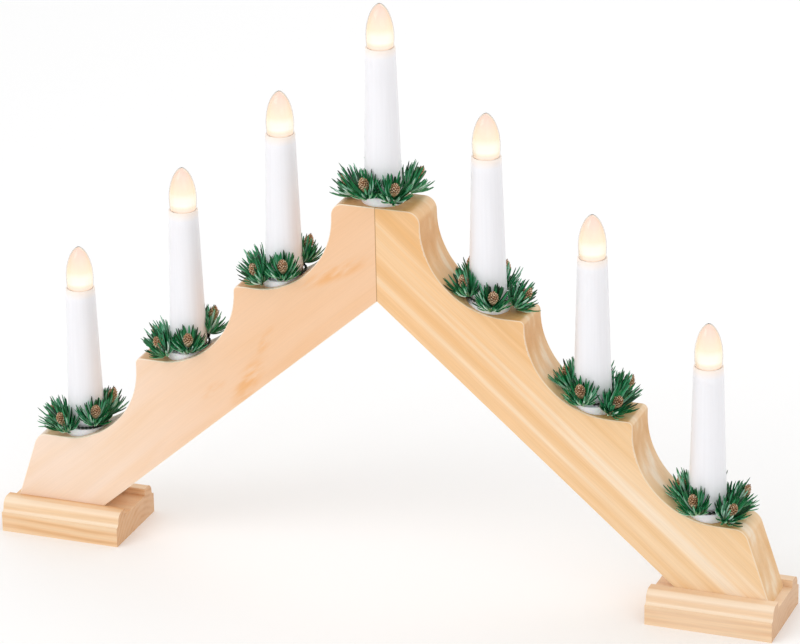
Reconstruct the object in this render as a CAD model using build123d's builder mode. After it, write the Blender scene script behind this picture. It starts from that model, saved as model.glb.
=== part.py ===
# Candle arch: two mitred, stepped pine arms on moulded feet, with seven electric candles
# in a row and a wreath of pine sprigs lying round the foot of each candle.
# X runs along the arch, Y to the back, Z up. The origin is on the table under the apex.

import os
from math import atan2, cos, radians, sin, sqrt, tan

from build123d import *

os.makedirs("parts", exist_ok=True)

# Arms
arm_thickness = 27.0
notch_radius = 46.5
riser_straights = (8.0, 3.4, 6.9)
step_flats = (11.4, 13.4, 15.5)
apex_half_width = 25.2
apex_depth = 53.5
end_seat_height = 57.2
underside_angle = 40.75
end_lean = 18.5
apex_rounding = 7.0
tooth_rounding = 3.0
end_rounding = 8.0
rounding_share = 0.95
edge_easing = 0.7
seat_setbacks = (24.8, 26.4, 24.5)

# Feet
foot_face = 11.2
cove_radius = 2.6
bead_radius = 4.8
lip_width = 4.5
channel_depth = 4.0
channel_clearance = 0.1
foot_toe = 6.0
foot_heel = 12.3

# Joinery
dowel_radius = 3.0
dowel_length = 30.0
dowel_offset = 7.0
dowel_rise = 8.5
screw_radius = 2.0
screw_length = 30.0
screw_head_radius = 4.0
screw_head_height = 2.4
screw_spacing = 17.0
screw_end_distance = 10.5
screw_clearance = 0.15

# Candle sleeves
sleeve_reach = 85.7
sleeve_top_radius = 8.0
sleeve_foot_radius = 10.3
sleeve_wall = 1.2
sleeve_rim_rounding = 0.4

# Lamp holders
flange_radius = 11.75
flange_height = 5.0
flange_rounding = 0.6
spigot_radius = 7.5
spigot_depth = 12.0
spigot_clearance = 0.1
seat_clearance = 0.3
boss_height = 6.0
boss_clearance = 0.15
column_radius = 5.0
holder_bore = 3.5
cup_clearance = 0.3
cup_drop = 6.0
cup_depth = 20.0
cup_floor_thickness = 2.0
shell_wall = 0.4
shell_length = 18.0
contact_radius = 4.2
contact_thickness = 0.6

# Bulbs
cap_radius = 4.75
cap_length = 16.0
cap_clearance = 0.1
tip_radius = 2.0
tip_height = 1.2
glass_wall = 0.7
glass_radius = 7.6
glass_belly_height = 6.5
glass_shoulder_radius = 5.3
glass_shoulder_height = 18.0
glass_tip_height = 23.8
glass_flare = 0.3
mouth_clearance = 0.3

# Wiring
lead_radius = 1.0
lead_spacing = 3.2
lead_bend = 3.0
wire_hole_radius = 4.0
pocket_radius = 5.0
groove_width = 7.0
groove_depth = 5.0
groove_rise = 20.0
staple_wire = 1.0
staple_margin = 1.5
staple_leg = 7.0
grommet_radius = 6.5
grommet_height = 8.0
grommet_rounding = 1.5
grommet_bore = 2.75
lead_setback = 2.0
inlet_rise = 13.0

# Wreaths
ring_radius = 11.6
ring_wire = 0.8
ring_clearance = 0.25
ring_seat_gap = 0.05
hub_radius = 1.3
hub_length = 3.2
stem_radius = 0.9
needle_length = 12.5
needle_width = 1.1
needle_depth = 0.8
needle_tip = 0.3
cone_stalk_radius = 0.5
cone_radius = 2.7
cone_length = 10.0
cone_stalk_length = 1.0
cone_belly_share = 0.5
upright_reach = 62.0
front_reach = 45.0

# Sprig angles about each candle, from left to right along the arch
sprig_angles = (
    (-119, -44, 38, 108, -178),
    (-131, -67, 45, 106, 168),
    (-131, -71, 50, 110, 169),
    (-109, -49, 36, 111, -174),
    (-134, -61, 9, 76, 146),
    (-97, -29, 36, 97, 179),
    (-102, -31, 31, 106, 179),
)

# Needles round an open sprig's axis: turn from its outer side, lean from the axis
open_needles = (
    (0, 60), (-42, 60), (42, 60), (-84, 56), (84, 46), (-122, 34), (122, 42),
    (-24, 38), (24, 38), (-64, 36), (64, 36), (-102, 35), (102, 35), (-148, 34), (148, 34),
)
# Needles of a sprig against the curve of a notch: angle to the side, angle above the ring
upright_needles = (
    (-60, 10), (60, 10), (-45, 24), (45, 24), (-70, 38), (70, 38), (-76, 58), (76, 58),
    (-98, 48), (98, 48), (-95, 75), (95, 75), (0, 90),
)
open_hub = (1.4, 0.5)
upright_hub = (1.9, 5.0)
side_rise = 57.0
front_rise = 74.0
upright_rise = 52.0

# Heights of the steps and places of their outer corners, from the apex outwards
levels = [end_seat_height]
for straight in reversed(riser_straights):
    levels.insert(0, levels[0] + notch_radius + straight)
corners = [apex_half_width]
for flat in step_flats:
    corners.append(corners[-1] + notch_radius + flat)
corner_roundings = [
    min(apex_rounding, rounding_share * riser_straights[0]),
    min(tooth_rounding, rounding_share * riser_straights[1]),
    min(tooth_rounding, rounding_share * riser_straights[2]),
    min(end_rounding, rounding_share * step_flats[2]),
]
slope = tan(radians(underside_angle))
lean = tan(radians(end_lean))
ridge_height = levels[0] - apex_depth
dowel_places = [(0, y, ridge_height + dowel_rise) for y in (-dowel_offset, dowel_offset)]

# Places of the feet under the arms
lip_height = foot_face + cove_radius + bead_radius
channel_floor = lip_height - channel_depth
channel_half = arm_thickness / 2 + channel_clearance
lip_half = channel_half + lip_width
foot_half_depth = lip_half + bead_radius + cove_radius
arm_heel = (ridge_height - channel_floor) / slope
arm_toe = corners[-1] + (levels[-1] - channel_floor) * lean
foot_inner = (ridge_height - lip_height) / slope - foot_heel
foot_outer = corners[-1] + (levels[-1] - lip_height) * lean + foot_toe
screw_places = (
    arm_toe - screw_end_distance - screw_spacing,
    arm_toe - screw_end_distance,
)

# Candle stations, left to right: place along X and seat height
half_stations = [
    (corner - setback, level)
    for corner, setback, level in zip(corners[1:], seat_setbacks, levels[1:])
]
stations = [(-x, level) for x, level in reversed(half_stations)]
stations += [(0.0, levels[0])] + half_stations

# Heights inside a candle, above its seat
sleeve_length = sleeve_reach - flange_height
sleeve_taper = (sleeve_foot_radius - sleeve_top_radius) / sleeve_length
cup_top = sleeve_reach - cup_drop
cup_floor = cup_top - cup_depth
shell_inner = cap_radius + cap_clearance
shell_outer = shell_inner + shell_wall
cup_radius = sleeve_top_radius - sleeve_wall - cup_clearance
cap_tip = cup_floor + contact_thickness
cap_foot = cap_tip + tip_height
cap_top = cap_foot + cap_length
mouth_radius = sleeve_top_radius - sleeve_wall - mouth_clearance

back = arm_thickness / 2
down = (Align.CENTER, Align.CENTER, Align.MAX)
up = (Align.CENTER, Align.CENTER, Align.MIN)
to_back = (-90, 0, 0)


def save(piece, name):
    piece.label = name
    export_step(piece, f"parts/{name}.step")


def groove_height(x):
    return ridge_height + groove_rise - slope * abs(x)


def sleeve_radius(height):
    return sleeve_foot_radius - sleeve_taper * (height - flange_height)


def section_plane(x, level):
    return Plane(origin=(x, 0, level), x_dir=(1, 0, 0), z_dir=(0, -1, 0))


def uphill(x):
    return 0 if x == 0 else (-1 if x > 0 else 1)


# Arms: stepped outline, eased edges, candle seats, wire holes and the groove on the back
def make_arm(side):
    seats = [(0.0, levels[0])] + [(side * x, level) for x, level in half_stations]
    arc_start = 180 if side > 0 else 0
    with BuildPart() as arm:
        with BuildSketch(Plane.XZ):
            with BuildLine():
                Polyline((0, ridge_height), (0, levels[0]), (side * corners[0], levels[0]))
                for i in range(len(step_flats)):
                    inner, outer = side * corners[i], side * corners[i + 1]
                    arc_x, arc_z = inner + side * notch_radius, levels[i + 1] + notch_radius
                    Line((inner, levels[i]), (inner, arc_z))
                    CenterArc((arc_x, arc_z), notch_radius, arc_start, side * 90)
                    Line((arc_x, levels[i + 1]), (outer, levels[i + 1]))
                Polyline(
                    (side * corners[-1], levels[-1]),
                    (side * arm_toe, channel_floor),
                    (side * arm_heel, channel_floor),
                    (0, ridge_height),
                )
            make_face()
        extrude(amount=back, both=True)
        for corner, level, rounding in zip(corners, levels, corner_roundings):
            cross_edges = arm.edges().filter_by(Axis.Y)
            fillet(cross_edges.sort_by_distance((side * corner, 0, level))[0], rounding)
        outline = arm.faces().filter_by(Axis.Y).edges()
        eased = [
            edge
            for edge in outline
            if abs(edge.center().X) > edge_easing and edge.center().Z > channel_floor + edge_easing
        ]
        fillet(eased, edge_easing)
        for x, level in seats:
            shaft_top = level - spigot_depth
            shaft_foot = groove_height(x) - wire_hole_radius
            with Locations((x, 0, level)):
                Cylinder(flange_radius + seat_clearance, notch_radius, align=up, mode=Mode.SUBTRACT)
                Cylinder(spigot_radius + spigot_clearance, spigot_depth, align=down, mode=Mode.SUBTRACT)
            with Locations((x, 0, shaft_top)):
                Cylinder(wire_hole_radius, shaft_top - shaft_foot, align=down, mode=Mode.SUBTRACT)
            with Locations((x, -lead_radius, groove_height(x))):
                Cylinder(pocket_radius, arm_thickness, rotation=to_back, align=up, mode=Mode.SUBTRACT)
        groove_plane = Plane(
            origin=(0, back, groove_height(0)),
            x_dir=(side * cos(radians(underside_angle)), 0, -sin(radians(underside_angle))),
            z_dir=(0, 1, 0),
        )
        groove_length = half_stations[-1][0] / cos(radians(underside_angle))
        with BuildSketch(groove_plane):
            with Locations((-groove_width, 0)):
                Rectangle(groove_length + groove_width, groove_width, align=(Align.MIN, Align.CENTER))
        extrude(amount=-groove_depth, mode=Mode.SUBTRACT)
        with Locations(*dowel_places):
            Cylinder(dowel_radius, dowel_length, rotation=(0, 90, 0), mode=Mode.SUBTRACT)
        with Locations(*[(side * x, 0, 0) for x in screw_places]):
            Cylinder(screw_radius, screw_length, align=up, mode=Mode.SUBTRACT)
        if side < 0:
            inlet_x = -half_stations[-1][0]
            with Locations((inlet_x, 0, groove_height(inlet_x) + inlet_rise)):
                Cylinder(wire_hole_radius, arm_thickness, rotation=to_back, align=up, mode=Mode.SUBTRACT)
    return arm.part


save(make_arm(-1), "left_arm")
save(make_arm(1), "right_arm")


# Feet: moulded blocks with a channel between two lips for the arm
def make_foot(side):
    with BuildPart() as foot:
        with BuildSketch(Plane.YZ.offset(foot_inner if side > 0 else -foot_outer)):
            with BuildLine():
                Polyline((0, 0), (foot_half_depth, 0), (foot_half_depth, foot_face))
                CenterArc((foot_half_depth, foot_face + cove_radius), cove_radius, -90, -90)
                CenterArc((lip_half, foot_face + cove_radius), bead_radius, 0, 90)
                Polyline(
                    (lip_half, lip_height),
                    (channel_half, lip_height),
                    (channel_half, channel_floor),
                    (0, channel_floor),
                    (0, 0),
                )
            make_face()
            mirror(about=Plane.YZ)
        extrude(amount=foot_outer - foot_inner)
        with Locations(*[(side * x, 0, 0) for x in screw_places]):
            Cylinder(screw_radius + screw_clearance, lip_height, align=up, mode=Mode.SUBTRACT)
            Cone(
                screw_head_radius + screw_clearance,
                screw_radius + screw_clearance,
                screw_head_height,
                align=up,
                mode=Mode.SUBTRACT,
            )
    return foot.part


save(make_foot(-1), "left_foot")
save(make_foot(1), "right_foot")

# Dowels across the mitre
with BuildPart() as mitre_dowels:
    with Locations(*dowel_places):
        Cylinder(dowel_radius, dowel_length, rotation=(0, 90, 0))
save(mitre_dowels.part, "mitre_dowels")

# Countersunk screws up through the feet into the arms
with BuildPart() as foot_screws:
    with Locations(*[(side * x, 0, 0) for side in (-1, 1) for x in screw_places]):
        Cone(screw_head_radius, screw_radius, screw_head_height, align=up)
        Cylinder(screw_radius, screw_length, align=up)
save(foot_screws.part, "foot_screws")


# Lamp holder: spigot in the wood, flange on the seat, column and cup inside the sleeve
def make_holder(x, level):
    boss_top = flange_height + boss_height
    boss_radius = sleeve_radius(boss_top) - sleeve_wall - boss_clearance
    with BuildPart() as holder:
        with BuildSketch(section_plane(x, level)) as section:
            Polygon(
                (holder_bore, -spigot_depth),
                (spigot_radius, -spigot_depth),
                (spigot_radius, 0),
                (flange_radius, 0),
                (flange_radius, flange_height),
                (boss_radius, flange_height),
                (boss_radius, boss_top),
                (column_radius, boss_top),
                (column_radius, cup_floor - cup_floor_thickness),
                (cup_radius, cup_floor - cup_floor_thickness),
                (cup_radius, cup_top),
                (shell_outer, cup_top),
                (shell_outer, cup_floor),
                (holder_bore, cup_floor),
                align=None,
            )
            fillet(section.vertices().sort_by_distance((flange_radius, flange_height))[0], flange_rounding)
        revolve(axis=Axis((x, 0, 0), (0, 0, 1)))
    return holder.part


# Sleeve: hollow tapered candle standing on the flange
def make_sleeve(x, level):
    with BuildPart() as sleeve:
        with BuildSketch(section_plane(x, level)) as section:
            Polygon(
                (sleeve_foot_radius - sleeve_wall, flange_height),
                (sleeve_foot_radius, flange_height),
                (sleeve_top_radius, sleeve_reach),
                (sleeve_top_radius - sleeve_wall, sleeve_reach),
                align=None,
            )
            fillet(section.vertices().group_by(Axis.Y)[-1], sleeve_rim_rounding)
        revolve(axis=Axis((x, 0, 0), (0, 0, 1)))
    return sleeve.part


# Bulb glass: hollow flame shape, drawn in at the neck to pass the sleeve's mouth
def make_glass(x, level):
    tip_z = sleeve_reach + glass_tip_height
    belly = (glass_radius, sleeve_reach + glass_belly_height)
    shoulder = (glass_shoulder_radius, sleeve_reach + glass_shoulder_height)
    with BuildPart() as glass:
        with BuildSketch(section_plane(x, level)):
            for inset, mode in ((0, Mode.ADD), (glass_wall, Mode.SUBTRACT)):
                with BuildLine():
                    Polyline(
                        (0, cap_top),
                        (cap_radius - inset, cap_top),
                        (mouth_radius - inset, sleeve_reach),
                    )
                    Spline(
                        (mouth_radius - inset, sleeve_reach),
                        (belly[0] - inset, belly[1]),
                        (shoulder[0] - inset, shoulder[1] - inset),
                        (0, tip_z - inset),
                        tangents=((glass_flare, 1), (-1, 0)),
                    )
                    Line((0, tip_z - inset), (0, cap_top))
                make_face(mode=mode)
        revolve(axis=Axis((x, 0, 0), (0, 0, 1)))
    return glass.part


# Bulb base: metal cap with its contact tip
def make_base(x, level):
    with BuildPart() as base:
        with Locations((x, 0, level + cap_tip)):
            Cylinder(tip_radius, tip_height, align=up)
        with Locations((x, 0, level + cap_foot)):
            Cylinder(cap_radius, cap_length, align=up)
    return base.part


for number, (x, level) in enumerate(stations, start=1):
    save(make_holder(x, level), f"lamp_holder_{number}")
    save(make_sleeve(x, level), f"candle_tube_{number}")
    save(make_glass(x, level), f"bulb_glass_{number}")
    save(make_base(x, level), f"bulb_base_{number}")

# Screw shells and centre contacts inside the lamp holders
with BuildPart() as socket_shells:
    with Locations(*[(x, 0, level + cup_floor) for x, level in stations]):
        Cylinder(shell_outer, shell_length, align=up)
        Cylinder(shell_inner, shell_length, align=up, mode=Mode.SUBTRACT)
save(socket_shells.part, "socket_shells")

with BuildPart() as socket_contacts:
    with Locations(*[(x, 0, level + cup_floor) for x, level in stations]):
        Cylinder(contact_radius, contact_thickness, align=up)
save(socket_contacts.part, "socket_contacts")


# Leads: one from each lamp to the next, with the feed and the return at the left end
def make_lead(route):
    with BuildPart() as lead:
        with BuildLine() as path:
            FilletPolyline(*route, radius=lead_bend)
        with BuildSketch(Plane(origin=path.line @ 0, z_dir=path.line % 0)):
            Circle(lead_radius)
        sweep()
    return lead.part


lead_y = back - groove_depth / 2
lead_shift = lead_spacing / 2
lead_rise = lead_shift / cos(radians(underside_angle))
inlet_height = groove_height(stations[0][0]) + inlet_rise
lead_end = back - lead_setback


def jumper_route(start, finish):
    x0, x1 = start[0] + lead_shift, finish[0] - lead_shift
    z0, z1 = groove_height(x0) + lead_rise, groove_height(x1) + lead_rise
    return (
        (x0, 0, start[1] + cup_floor),
        (x0, 0, z0),
        (x0, lead_y, z0),
        (x1, lead_y, z1),
        (x1, 0, z1),
        (x1, 0, finish[1] + cup_floor),
    )


first_x = stations[0][0] - lead_shift
last_x = stations[-1][0] + lead_shift
feed_route = (
    (first_x, lead_end, inlet_height + lead_shift),
    (first_x, 0, inlet_height + lead_shift),
    (first_x, 0, stations[0][1] + cup_floor),
)
return_route = (
    (first_x, lead_end, inlet_height - lead_shift),
    (first_x, 0, inlet_height - lead_shift),
    (first_x, 0, groove_height(first_x) - lead_rise),
    (first_x, lead_y, groove_height(first_x) - lead_rise),
    (0, lead_y, groove_height(0) - lead_rise),
    (last_x, lead_y, groove_height(last_x) - lead_rise),
    (last_x, 0, groove_height(last_x) - lead_rise),
    (last_x, 0, stations[-1][1] + cup_floor),
)
routes = [jumper_route(*pair) for pair in zip(stations, stations[1:])]
with BuildPart() as wiring:
    add([make_lead(route) for route in routes + [feed_route, return_route]])
save(wiring.part, "wiring")

# Staples over the groove, halfway between neighbouring candles
with BuildPart() as wire_staples:
    for (x0, _), (x1, _) in zip(stations, stations[1:]):
        middle = (x0 + x1) / 2
        turn = underside_angle if middle > 0 else -underside_angle
        crown = groove_width + 2 * staple_margin
        with Locations(Location((middle, back, groove_height(middle)), (0, turn, 0))):
            Box(staple_wire, staple_wire, crown, align=(Align.CENTER, Align.MIN, Align.CENTER))
            with Locations((0, 0, crown / 2), (0, 0, -crown / 2)):
                Box(
                    staple_wire,
                    staple_leg + staple_wire,
                    staple_wire,
                    align=(Align.CENTER, Align.MAX, Align.CENTER),
                )
save(wire_staples.part, "wire_staples")

# Grommet standing on the back at the cord inlet
with BuildPart() as cord_grommet:
    with Locations((stations[0][0], back, inlet_height)):
        Cylinder(grommet_radius, grommet_height, rotation=to_back, align=up)
        fillet(cord_grommet.edges().sort_by(Axis.Y)[-1], grommet_rounding)
        Cylinder(grommet_bore, grommet_height, rotation=to_back, align=up, mode=Mode.SUBTRACT)
save(cord_grommet.part, "cord_grommet")


# Sprigs: a stem from the ring to a hub, with needles fanned round a small cone
def heading(side_angle, rise_angle):
    level_part = cos(radians(rise_angle))
    return Vector(
        level_part * cos(radians(side_angle)),
        level_part * sin(radians(side_angle)),
        sin(radians(rise_angle)),
    )


def make_needle(hub, direction):
    root = Plane(origin=hub, z_dir=direction)
    with BuildPart() as needle:
        with BuildSketch(root):
            Rectangle(needle_width, needle_depth)
        with BuildSketch(root.offset(needle_length)):
            Rectangle(needle_tip, needle_tip)
        loft(ruled=True)
    return needle.part


def fan_heading(rise_angle, turn, lean_angle):
    axis = heading(0, rise_angle)
    outer = heading(0, rise_angle - 90)
    sideways = outer * cos(radians(turn)) + Vector(0, 1, 0) * sin(radians(turn))
    return axis * cos(radians(lean_angle)) + sideways * sin(radians(lean_angle))


def make_sprig(hub_place, directions, rise_angle):
    hub = Vector(hub_place[0], 0, hub_place[1])
    blades = [make_needle(hub, direction) for direction in directions]
    with BuildPart() as sprig:
        with Locations(Plane(origin=(0, 0, 0), z_dir=hub)):
            Cylinder(stem_radius, hub.length, align=up)
        with Locations(Plane(origin=hub, z_dir=heading(0, rise_angle))):
            Cylinder(hub_radius, hub_length)
        add(blades)
    return sprig.part


def make_cone(hub_place, rise_angle):
    hub = Vector(hub_place[0], 0, hub_place[1])
    axis_plane = Plane(origin=hub, x_dir=(0, 1, 0), z_dir=heading(0, rise_angle))
    start = hub_length / 2
    belly_foot = start + cone_stalk_length
    belly = start + cone_belly_share * cone_length
    tip = start + cone_length
    with BuildPart() as cone:
        with BuildSketch(Plane.XZ):
            with BuildLine():
                Polyline((0, start), (cone_stalk_radius, start), (cone_stalk_radius, belly_foot))
                ThreePointArc(
                    (cone_stalk_radius, belly_foot),
                    (cone_radius, belly),
                    (cone_stalk_radius, tip),
                )
                Polyline((cone_stalk_radius, tip), (0, tip), (0, start))
            make_face()
        revolve(axis=Axis.Z)
    return cone.part.moved(axis_plane.location)


upright_directions = [heading(*angles) for angles in upright_needles]
upright_sprig = make_sprig(upright_hub, upright_directions, upright_rise)
upright_cone = make_cone(upright_hub, upright_rise)
side_directions = [fan_heading(side_rise, *angles) for angles in open_needles]
side_sprig = make_sprig(open_hub, side_directions, side_rise)
side_cone = make_cone(open_hub, side_rise)
front_directions = [fan_heading(front_rise, *angles) for angles in open_needles]
front_sprig = make_sprig(open_hub, front_directions, front_rise)
front_cone = make_cone(open_hub, front_rise)


# Wreath ring: lies on the flange and, on a step, leans up against the curve of the notch
def ring_plane(x, level):
    low = flange_height + ring_wire + ring_seat_gap
    tilt = 0.0
    if x != 0:
        inner_corner = max(corner for corner in corners if corner < abs(x))
        across = inner_corner + notch_radius - abs(x) + ring_radius
        reach = notch_radius - ring_wire - ring_clearance
        high = notch_radius - sqrt(reach**2 - across**2)
        tilt = max(0.0, atan2(high - low, 2 * ring_radius))
    lift = uphill(x) * sin(tilt)
    return Plane(
        origin=(x, 0, level + low + ring_radius * sin(tilt)),
        x_dir=(cos(tilt), 0, lift),
        z_dir=(-lift, 0, cos(tilt)),
    )


def leans_uphill(x, angle):
    if x == 0:
        return False
    facing = 0 if uphill(x) > 0 else 180
    apart = abs((angle - facing + 180) % 360 - 180)
    return apart < upright_reach


# Sprigs facing the front or the back stand steeper than those at the sides
def pick_sprig(x, angle):
    if leans_uphill(x, angle):
        return upright_sprig, upright_cone
    if abs(abs(angle) - 90) < front_reach:
        return front_sprig, front_cone
    return side_sprig, side_cone


for number, (x, level) in enumerate(stations, start=1):
    plane = ring_plane(x, level)
    sprigs = []
    cones = []
    for angle in sprig_angles[number - 1]:
        outward = plane.x_dir * cos(radians(angle)) + plane.y_dir * sin(radians(angle))
        place = Plane(plane.origin + outward * ring_radius, x_dir=outward, z_dir=plane.z_dir).location
        sprig, cone = pick_sprig(x, angle)
        sprigs.append(sprig.moved(place))
        cones.append(cone.moved(place))
    with BuildPart() as wreath_ring:
        with Locations(plane.location):
            Torus(ring_radius, ring_wire)
    save(wreath_ring.part, f"wreath_ring_{number}")
    save(Compound(children=sprigs), f"sprigs_{number}")
    save(Compound(children=cones), f"cones_{number}")
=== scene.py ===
import bpy
import numpy as np
from mathutils import Matrix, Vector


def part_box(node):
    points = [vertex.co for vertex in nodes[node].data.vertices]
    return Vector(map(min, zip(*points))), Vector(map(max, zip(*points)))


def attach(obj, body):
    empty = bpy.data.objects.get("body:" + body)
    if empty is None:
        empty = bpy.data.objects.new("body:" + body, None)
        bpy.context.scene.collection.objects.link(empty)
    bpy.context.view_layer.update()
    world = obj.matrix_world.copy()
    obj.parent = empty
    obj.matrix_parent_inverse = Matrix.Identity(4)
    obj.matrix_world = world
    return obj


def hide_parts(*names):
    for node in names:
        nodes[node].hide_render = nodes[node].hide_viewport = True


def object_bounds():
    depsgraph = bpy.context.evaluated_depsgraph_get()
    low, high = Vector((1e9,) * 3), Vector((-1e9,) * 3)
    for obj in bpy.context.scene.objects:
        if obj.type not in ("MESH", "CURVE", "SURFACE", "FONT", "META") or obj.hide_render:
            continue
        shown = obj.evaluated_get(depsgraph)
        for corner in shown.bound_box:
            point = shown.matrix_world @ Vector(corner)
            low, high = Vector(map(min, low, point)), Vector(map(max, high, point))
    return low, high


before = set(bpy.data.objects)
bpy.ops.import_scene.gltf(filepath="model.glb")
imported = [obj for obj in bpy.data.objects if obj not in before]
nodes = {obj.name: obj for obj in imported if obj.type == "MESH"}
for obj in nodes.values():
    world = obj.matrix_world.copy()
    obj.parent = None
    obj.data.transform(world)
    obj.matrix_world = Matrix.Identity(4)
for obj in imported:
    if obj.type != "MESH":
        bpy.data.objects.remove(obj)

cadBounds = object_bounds()
mm = 0.001
candles = range(1, 8)
axisRadius = 0.02  # mm, how near to its axis a turned shape is drawn
gritDepth = 0.2  # mm, how deep grit and mould lines are
skyward = np.array([0, 0, 1.0])
print("frame loaded")


# sRGB hex to linear red, green, blue and alpha
def hexColor(code):
    srgb = np.array([int(code[i:i + 2], 16) for i in (1, 3, 5)]) / 255
    linear = np.where(srgb <= 0.04045, srgb / 12.92, ((srgb + 0.055) / 1.055) ** 2.4)
    return (*linear.tolist(), 1.0)


# adds one node, sets its properties and sockets, and links sockets to what feeds them
def addNode(tree, kind, props=None, values=None, links=None):
    node = tree.nodes.new(kind)
    for key, value in (props or {}).items():
        setattr(node, key, value)
    for key, value in (values or {}).items():
        node.inputs[key].default_value = value
    for key, source in (links or {}).items():
        tree.links.new(source, node.inputs[key])
    return node


# a new material with an empty tree, its output and its shader's settings
def newMaterial(name, values):
    material = bpy.data.materials.new(name)
    material.use_nodes = True
    tree = material.node_tree
    tree.nodes.clear()
    shader = addNode(tree, "ShaderNodeBsdfPrincipled", values=values)
    addNode(tree, "ShaderNodeOutputMaterial", links={"Surface": shader.outputs["BSDF"]})
    return material, tree, shader


# sets the stops of a colour ramp from pairs of place and hex colour
def setRamp(ramp, stops):
    elements = ramp.color_ramp.elements
    while len(elements) < len(stops):
        elements.new(0.5)
    for element, (place, code) in zip(elements, stops):
        element.position = place
        element.color = hexColor(code)


# a finish with fine grit: noise of the grit's size gives the bump, and the colour as well unless the
# finish reads a number stored on the points
def grittyFinish(name, finish, detail=3.0):
    material, tree, shader = newMaterial(name, finish["shader"])
    coords = addNode(tree, "ShaderNodeTexCoord")
    grit = addNode(tree, "ShaderNodeTexNoise", {}, {"Scale": 1 / (finish["grit"] * mm), "Detail": detail},
                   {"Vector": coords.outputs["Object"]})
    source = grit
    if "reads" in finish:
        source = addNode(tree, "ShaderNodeAttribute", {"attribute_name": finish["reads"]})
    tone = addNode(tree, "ShaderNodeValToRGB", {}, {}, {"Fac": source.outputs["Fac"]})
    setRamp(tone, finish["stops"])
    tree.links.new(tone.outputs["Color"], shader.inputs["Base Color"])
    if "bump" in finish:
        bump = addNode(tree, "ShaderNodeBump", {},
                       {"Strength": finish["bump"], "Distance": gritDepth * mm},
                       {"Height": grit.outputs["Fac"]})
        tree.links.new(bump.outputs[0], shader.inputs["Normal"])
    return material


# puts points and four-cornered faces into a mesh object at the origin; sizes come in mm
def putMesh(name, points, quads, material, body, replaced, smooth=True):
    mesh = bpy.data.meshes.new(name)
    mesh.vertices.add(len(points))
    mesh.vertices.foreach_set("co", (points * mm).astype(np.float32).ravel())
    mesh.loops.add(quads.size)
    mesh.loops.foreach_set("vertex_index", quads.astype(np.int32).ravel())
    mesh.polygons.add(len(quads))
    mesh.polygons.foreach_set("loop_start", np.arange(0, quads.size, 4, dtype=np.int32))
    mesh.polygons.foreach_set("use_smooth", np.full(len(quads), smooth))
    mesh.update(calc_edges=True)
    mesh.validate()
    mesh.materials.append(material)
    piece = bpy.data.objects.new(name, mesh)
    bpy.context.scene.collection.objects.link(piece)
    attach(piece, body)
    if replaced:
        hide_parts(replaced)
    return piece


# stores one number on each point of a piece, for its material to read
def storeValues(piece, name, values):
    layer = piece.data.attributes.new(name, "FLOAT", "POINT")
    layer.data.foreach_set("value", values.astype(np.float32).ravel())


# faces of a grid of rows by columns, each corner joined to the next row and column; either way may close
def gridQuads(rows, columns, closeRows, closeColumns):
    row = np.arange(rows if closeRows else rows - 1)[:, None]
    column = np.arange(columns if closeColumns else columns - 1)[None, :]
    nextRow, nextColumn = (row + 1) % rows, (column + 1) % columns
    corners = [row * columns + column, row * columns + nextColumn,
               nextRow * columns + nextColumn, nextRow * columns + column]
    return np.stack([np.broadcast_to(c, (row.size, column.size)) for c in corners], -1).reshape(-1, 4)


# the same grid faces for each of many equal grids stored one after the other
def manyQuads(count, rows, columns, closeRows, closeColumns):
    one = gridQuads(rows, columns, closeRows, closeColumns)
    return (one[None] + (np.arange(count) * rows * columns)[:, None, None]).reshape(-1, 4)


# faces of many four-sided rods with the given rows of points, closed at foot and tip
def rodQuads(count, rows):
    first = np.arange(count)[:, None] * rows * 4
    foot = first + np.arange(4)[::-1]
    tip = first + (rows - 1) * 4 + np.arange(4)
    return np.concatenate([manyQuads(count, rows, 4, False, True), foot, tip])


# turns a closed profile of radius and height about a candle's axis: x and y are the radius times the
# cosine and sine of an even turn, z is the height; the profile closes, so there is no pole
def turnProfile(profile, place, steps):
    turn = np.linspace(0, 2 * np.pi, steps, endpoint=False)[:, None]
    radius, height = profile[:, 0][None], profile[:, 1][None]
    points = np.stack([radius * np.cos(turn), radius * np.sin(turn), height + 0 * turn], -1) + place
    return points.reshape(-1, 3), gridQuads(steps, len(profile), True, True)[:, ::-1]


# unit circles on pairs of directions: the cosine of an even turn along the first, its sine along the second
def hoops(sides, first, second):
    turn = np.linspace(0, 2 * np.pi, sides, endpoint=False)[:, None]
    return np.cos(turn) * first[..., None, :] + np.sin(turn) * second[..., None, :]


# the matrix that stands an object at a place, its own axes along three directions
def standAt(place, xAxis, yAxis, zAxis):
    return Matrix([[xAxis[i], yAxis[i], zAxis[i], place[i]] for i in range(3)] + [[0, 0, 0, 1]])


# each candle's place: the middle of its tube across, and its seat, which the holder's spigot goes into
spigotDepth = 12.0
seats = []
for number in candles:
    low, high = (np.array(corner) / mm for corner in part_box(f"candle_tube_{number}"))
    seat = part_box(f"lamp_holder_{number}")[0][2] / mm + spigotDepth
    seats.append(np.round([(low[0] + high[0]) / 2, (low[1] + high[1]) / 2, seat], 2))
    flangeHeight = round(low[2] - seat, 2)  # the tube stands on the flange, alike on every candle
print("candle places found:", len(seats))


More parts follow.
